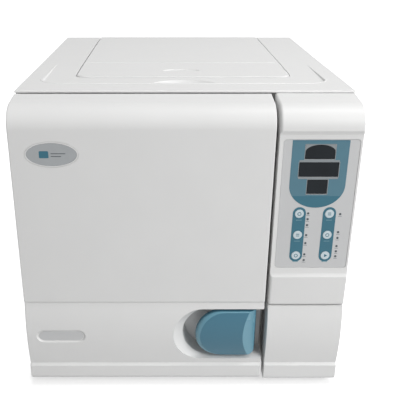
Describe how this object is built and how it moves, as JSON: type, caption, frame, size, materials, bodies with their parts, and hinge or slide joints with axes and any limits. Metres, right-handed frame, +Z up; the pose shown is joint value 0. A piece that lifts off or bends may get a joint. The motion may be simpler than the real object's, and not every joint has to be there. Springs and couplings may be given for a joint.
{
  "type": "benchtop autoclave",
  "caption": "Benchtop steam autoclave with a side-hinged front door, a round horizontal chamber with trays, a water tank lid on top and a control column on the right.",
  "frame": {"origin": "centre of the box round the part, on the table under its feet", "axes": "+X to the right as seen from the front, +Y back along the chamber, +Z up; the door faces -Y"},
  "size_m": [0.48, 0.596, 0.46],
  "materials": {
    "white_plastic": "fine satin moulding",
    "teal_plastic": "satin",
    "membrane_film": "printed film",
    "smoked_window": "smoked, clear gloss",
    "key_film": "domed film",
    "badge_silver": "silver lacquer",
    "painted_steel": "powder coat",
    "stainless_steel": "brushed",
    "zinc_steel": "zinc plate",
    "insulation_foil": "foil-faced wool",
    "silicone_rubber": "smooth silicone",
    "black_rubber": "matt",
    "tank_plastic": "natural polypropylene",
    "dark_plastic": "satin",
    "brass_fitting": "machined",
    "board_green": "solder mask",
    "motor_grey": "painted casting"
  },
  "bodies": {
    "cabinet": {"base_pan": "zinc_steel", "foot_front_left": "black_rubber", "foot_front_right": "black_rubber", "foot_rear_left": "black_rubber", "foot_rear_right": "black_rubber", "front_bulkhead": "stainless_steel", "left_side_panel": "painted_steel", "right_side_panel": "painted_steel", "rear_panel": "painted_steel", "top_cover": "white_plastic", "control_column": "white_plastic", "service_bay": "white_plastic", "membrane_panel": "membrane_film", "display_lens": "smoked_window", "chamber": "stainless_steel", "heater_band": "zinc_steel", "insulation_jacket": "insulation_foil", "chamber_cradle": "zinc_steel", "tray_rack": "stainless_steel", "lower_tray": "stainless_steel", "middle_tray": "stainless_steel", "upper_tray": "stainless_steel", "water_tank": "tank_plastic", "lid_hinge_rod": "stainless_steel", "steam_generator": "stainless_steel", "vacuum_pump": "motor_grey", "condenser": "zinc_steel", "fan_frame": "dark_plastic", "fan_guard": "dark_plastic", "valve_block": "brass_fitting", "main_board": "board_green", "mains_inlet": "dark_plastic", "safety_valve": "brass_fitting", "air_filter": "tank_plastic", "clean_drain_port": "brass_fitting", "used_drain_port": "brass_fitting", "hinge_frame_leaf": "stainless_steel", "hinge_pin": "stainless_steel", "lock_solenoid": "motor_grey"},
    "door": {"door_shell": "white_plastic", "door_back_panel": "stainless_steel", "door_crossbeam": "zinc_steel", "pressure_plate": "stainless_steel", "door_gasket": "silicone_rubber", "capacity_badge": "badge_silver", "hinge_door_leaf": "stainless_steel"},
    "door_handle": {"handle": "teal_plastic", "handle_shaft": "stainless_steel", "latch_hook": "zinc_steel"},
    "lid": {"tank_lid": "white_plastic"},
    "flap": {"service_door": "white_plastic"},
    "bolt": {"lock_bolt": "stainless_steel"},
    "rocker": {"mains_rocker": "dark_plastic"},
    "fan": {"fan_rotor": "dark_plastic"},
    "key_left_upper": {"left_upper_key": "key_film"},
    "key_left_middle": {"left_middle_key": "key_film"},
    "key_left_lower": {"left_lower_key": "key_film"},
    "key_right_upper": {"right_upper_key": "key_film"},
    "key_right_middle": {"right_middle_key": "key_film"},
    "key_right_lower": {"right_lower_key": "key_film"}
  },
  "joints": [
    {"name": "door_swing", "type": "hinge", "parent": "cabinet", "child": "door", "pos_m": [-0.234, -0.2315, 0.232], "axis": [0, 0, -1], "range_deg": [0, 120]},
    {"name": "handle_pull", "type": "hinge", "parent": "door", "child": "door_handle", "pos_m": [0.103, -0.273, 0.098], "axis": [0, 0, 1], "range_deg": [0, 25], "stiffness_Nm_per_rad": 1, "springref_deg": -5.73},
    {"name": "lid_lift", "type": "hinge", "parent": "cabinet", "child": "lid", "pos_m": [0, 0.279, 0.446], "axis": [-1, 0, 0], "range_deg": [0, 100]},
    {"name": "flap_swing", "type": "hinge", "parent": "cabinet", "child": "flap", "pos_m": [0.233, -0.274, 0.076], "axis": [0, 0, 1], "range_deg": [0, 100]},
    {"name": "bolt_slide", "type": "slide", "parent": "cabinet", "child": "bolt", "axis": [-1, 0, 0], "range_m": [0, 0.012], "stiffness_N_per_m": 200, "springref_m": -0.005},
    {"name": "rocker_tip", "type": "hinge", "parent": "cabinet", "child": "rocker", "pos_m": [0.16145, 0.285, 0.099], "axis": [1, 0, 0], "range_deg": [0, 16]},
    {"name": "fan_spin", "type": "hinge", "parent": "cabinet", "child": "fan", "pos_m": [0.16145, 0.2844, 0.262], "axis": [0, 1, 0], "continuous": true},
    {"name": "press_left_upper", "type": "slide", "parent": "cabinet", "child": "key_left_upper", "axis": [0, 1, 0], "range_m": [0, 0.0008], "stiffness_N_per_m": 600},
    {"name": "press_left_middle", "type": "slide", "parent": "cabinet", "child": "key_left_middle", "axis": [0, 1, 0], "range_m": [0, 0.0008], "stiffness_N_per_m": 600},
    {"name": "press_left_lower", "type": "slide", "parent": "cabinet", "child": "key_left_lower", "axis": [0, 1, 0], "range_m": [0, 0.0008], "stiffness_N_per_m": 600},
    {"name": "press_right_upper", "type": "slide", "parent": "cabinet", "child": "key_right_upper", "axis": [0, 1, 0], "range_m": [0, 0.0008], "stiffness_N_per_m": 600},
    {"name": "press_right_middle", "type": "slide", "parent": "cabinet", "child": "key_right_middle", "axis": [0, 1, 0], "range_m": [0, 0.0008], "stiffness_N_per_m": 600},
    {"name": "press_right_lower", "type": "slide", "parent": "cabinet", "child": "key_right_lower", "axis": [0, 1, 0], "range_m": [0, 0.0008], "stiffness_N_per_m": 600}
  ]
}
